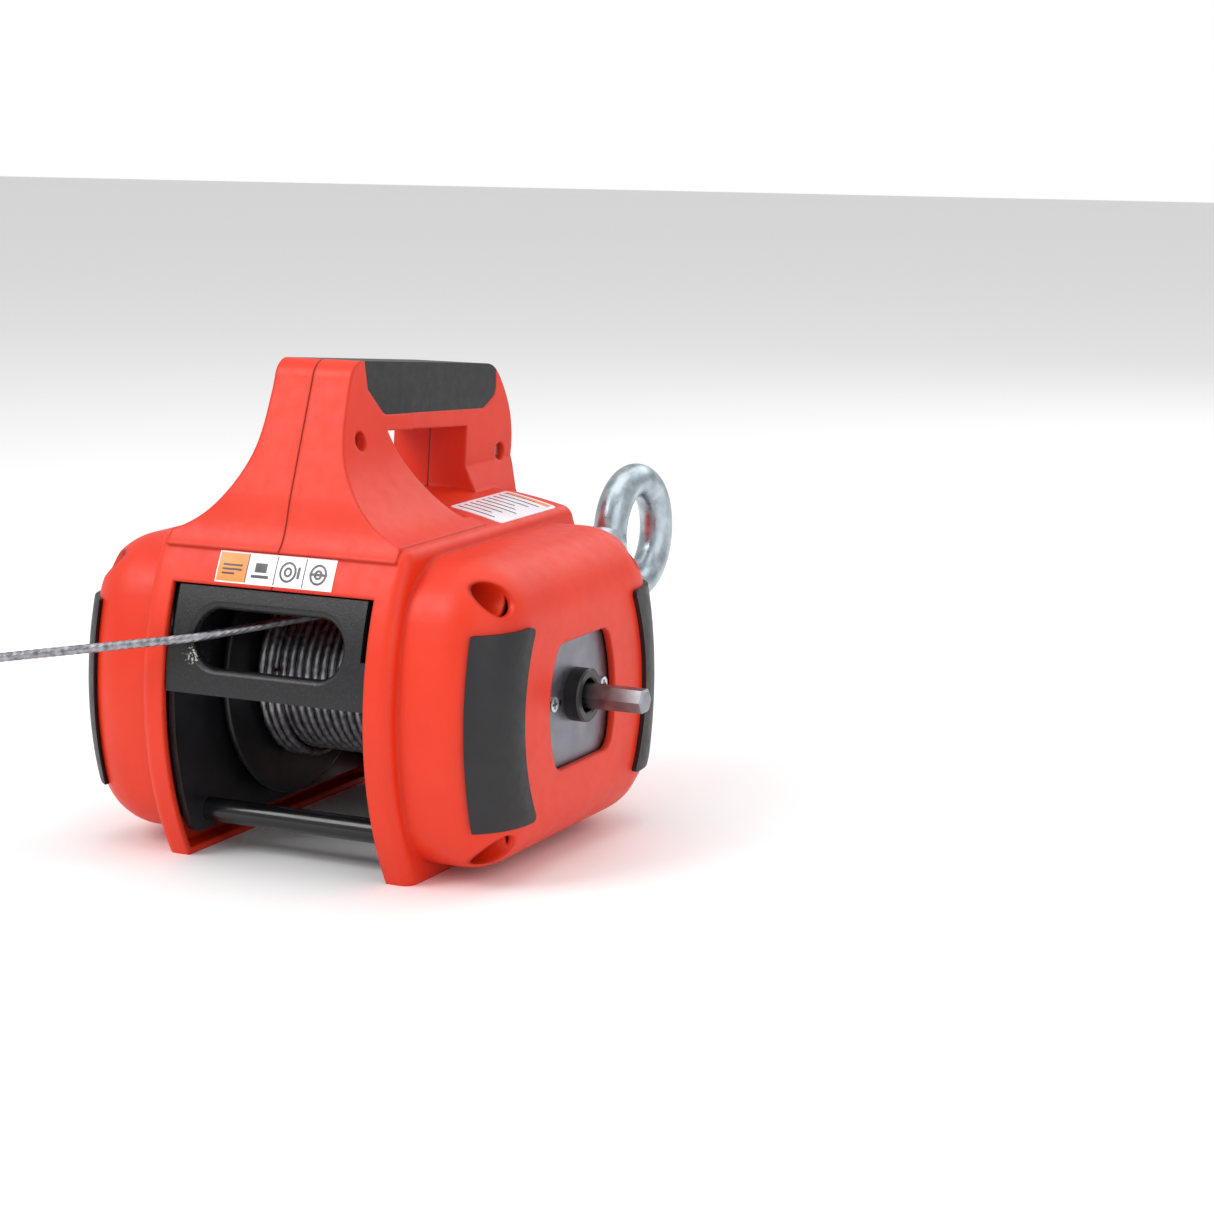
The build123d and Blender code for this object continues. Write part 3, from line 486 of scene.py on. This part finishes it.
# ---------------------------------------------------------------- labels
def dress_labels():
    """Front label with an orange field and plain symbols, and lines and fields on the deck label."""
    x0, x1 = label_low[0] + 0.6 * MM, label_high[0] - 0.6 * MM
    z0, z1 = label_low[2] + 0.6 * MM, label_high[2] - 0.6 * MM
    skin = 0.08 * MM
    field = (x1 - x0) / 4
    paint(front_patch("label_orange_field", (x0, x0 + field), (z0, z1), 0.31 * MM, skin),
          orange_film)
    for index in range(1, 4):
        x = x0 + field * index
        paint(front_patch(f"label_divider_{index}", (x, x + 0.45 * MM), (z0, z1), 0.31 * MM, skin), black_ink)
    high = z1 - z0
    marks = [(0.16, 0.84, 0.55, 0.62), (0.16, 0.84, 0.40, 0.47), (0.16, 0.6, 0.25, 0.32),
             (1.2, 1.8, 0.2, 0.3), (1.3, 1.7, 0.4, 0.72), (2.78, 2.86, 0.3, 0.7), (3.2, 3.8, 0.46, 0.54)]
    for index, (a, b, low, top) in enumerate(marks):
        paint(front_patch(f"label_mark_{index}", (x0 + a * field, x0 + b * field),
                          (z0 + low * high, z0 + top * high), 0.40 * MM, skin), black_ink)
    for index, (across, size) in enumerate(((2.45, 0.36), (2.45, 0.17), (3.5, 0.36), (3.5, 0.17))):
        paint(front_ring(f"label_ring_{index}", (x0 + across * field, (z0 + z1) / 2),
                         (size * high, (size - 0.07) * high), 0.50 * MM, skin), black_ink)
    dx0, dx1 = deck_low[0] + 2 * MM, deck_high[0] - 2 * MM
    dy0, dy1 = deck_low[1] + 2 * MM, deck_high[1] - 2 * MM
    rows = 9
    for index in range(rows):
        y = dy0 + (dy1 - dy0) * (index + 0.4) / rows
        long = (dx1 - dx0) * (0.62 + 0.3 * math.sin(2.3 * index + 1) ** 2)
        paint(deck_patch(f"deck_line_{index}", (dx0, dx0 + long), (y, y + 0.9 * MM), 0.31 * MM, skin), black_ink)
    paint(deck_patch("deck_band", (dx0, dx1), (dy1 - 3.5 * MM, dy1), 0.31 * MM, skin),
          orange_film)


# ---------------------------------------------------------------- small fittings
def paint_cross_slot_shade():
    """Painted shade in the pan heads of the plate screws: dark crosses of two crossed bars with sloped floors,
    standing in for the shade inside the cross recesses.
    """
    heads = []
    for side, x in ((1, cover_high[0] + 2.0 * MM), (-1, -(cover_high[0] + 2.0 * MM))):
        for y in (-SCREW_REACH, SCREW_REACH):
            heads.append((f"screw_cross_shade_{'r' if side > 0 else 'l'}{'a' if y < 0 else 'b'}", side, x, y))
    for name, side, x, y in heads:
        long, wide, thick = 2.1 * MM, 0.5 * MM, 0.08 * MM
        outline = np.array([(long, wide), (wide, wide), (wide, long), (-wide, long), (-wide, wide),
                            (-long, wide), (-long, -wide), (-wide, -wide), (-wide, -long),
                            (wide, -long), (wide, -wide), (long, -wide)])
        flat = np.column_stack([np.full(12, x + side * thick), y + outline[:, 0],
                                AXIS_Z + outline[:, 1]])
        back = flat - np.array([side * thick * 1.5, 0, 0])
        faces = [list(range(12)), list(range(23, 11, -1))]
        faces += [[i, i + 12, (i + 1) % 12 + 12, (i + 1) % 12] for i in range(12)]
        if side < 0:
            faces = [face[::-1] for face in faces]
        # the dark cross is painted shade on the bright screw head
        paint(make_mesh(name, np.vstack([flat, back]), faces, "root", smooth=False),
              recess_painted_shade)


# ---------------------------------------------------------------- camera, light, floor
def set_stage():
    """White sweep under the winch, soft light from above and both sides, and the camera."""
    scene = bpy.context.scene
    data = bpy.data.cameras.new("camera")
    data.sensor_width = 36.0
    data.lens = data.sensor_width * FOCAL_LENGTH / PICTURE_WIDTH
    data.clip_end = 50.0
    camera = bpy.data.objects.new("camera", data)
    camera.location = CAMERA_PLACE
    camera.rotation_euler = (math.radians(90 - CAMERA_PITCH), 0.0, math.radians(CAMERA_TURN))
    scene.collection.objects.link(camera)
    scene.camera = camera

    floor_mesh = bpy.data.meshes.new("floor")
    reach = 6.0
    floor_mesh.from_pydata([(-reach, -reach, 0), (reach, -reach, 0), (reach, reach, 0),
                            (-reach, reach, 0)], [], [(0, 1, 2, 3)])
    floor = bpy.data.objects.new("floor", floor_mesh)
    scene.collection.objects.link(floor)
    material, _, shader, _ = new_material("white_paper_sweep")
    shader.inputs["Base Color"].default_value = linear("#FFFFFF")
    shader.inputs["Roughness"].default_value = 0.7
    floor_mesh.materials.append(material)

    for name, place, turn, size, power in (
            ("key", (-0.9, -1.3, 1.5), (45, 0, -35), 1.0, 20),
            ("fill", (1.5, -0.7, 0.9), (65, 0, 65), 1.4, 7),
            ("top", (0.0, 0.2, 1.8), (0, 0, 0), 1.6, 9),
            ("rear", (0.4, 1.6, 1.2), (-60, 0, 10), 1.2, 6)):
        lamp = bpy.data.lights.new(name, "AREA")
        lamp.energy = power
        lamp.size = size
        item = bpy.data.objects.new(name, lamp)
        item.location = place
        item.rotation_euler = tuple(math.radians(angle) for angle in turn)
        scene.collection.objects.link(item)
    world = bpy.data.worlds.new("studio")
    world.use_nodes = True
    sky = world.node_tree.nodes["Background"]
    sky.inputs[0].default_value = (1.0, 1.0, 1.0, 1.0)
    seen = add_node(world.node_tree, "ShaderNodeLightPath").outputs[0]
    power = add_node(world.node_tree, "ShaderNodeMapRange", {"Value": seen}, i1=0.0, i2=1.0, i3=0.66, i4=1.0)
    world.node_tree.links.new(power.outputs[0], sky.inputs[1])
    scene.world = world
    scene.view_settings.view_transform = "Standard"


finish_nodes()
wind_drum()
run_free_rope()
dress_labels()
paint_cross_slot_shade()
set_stage()
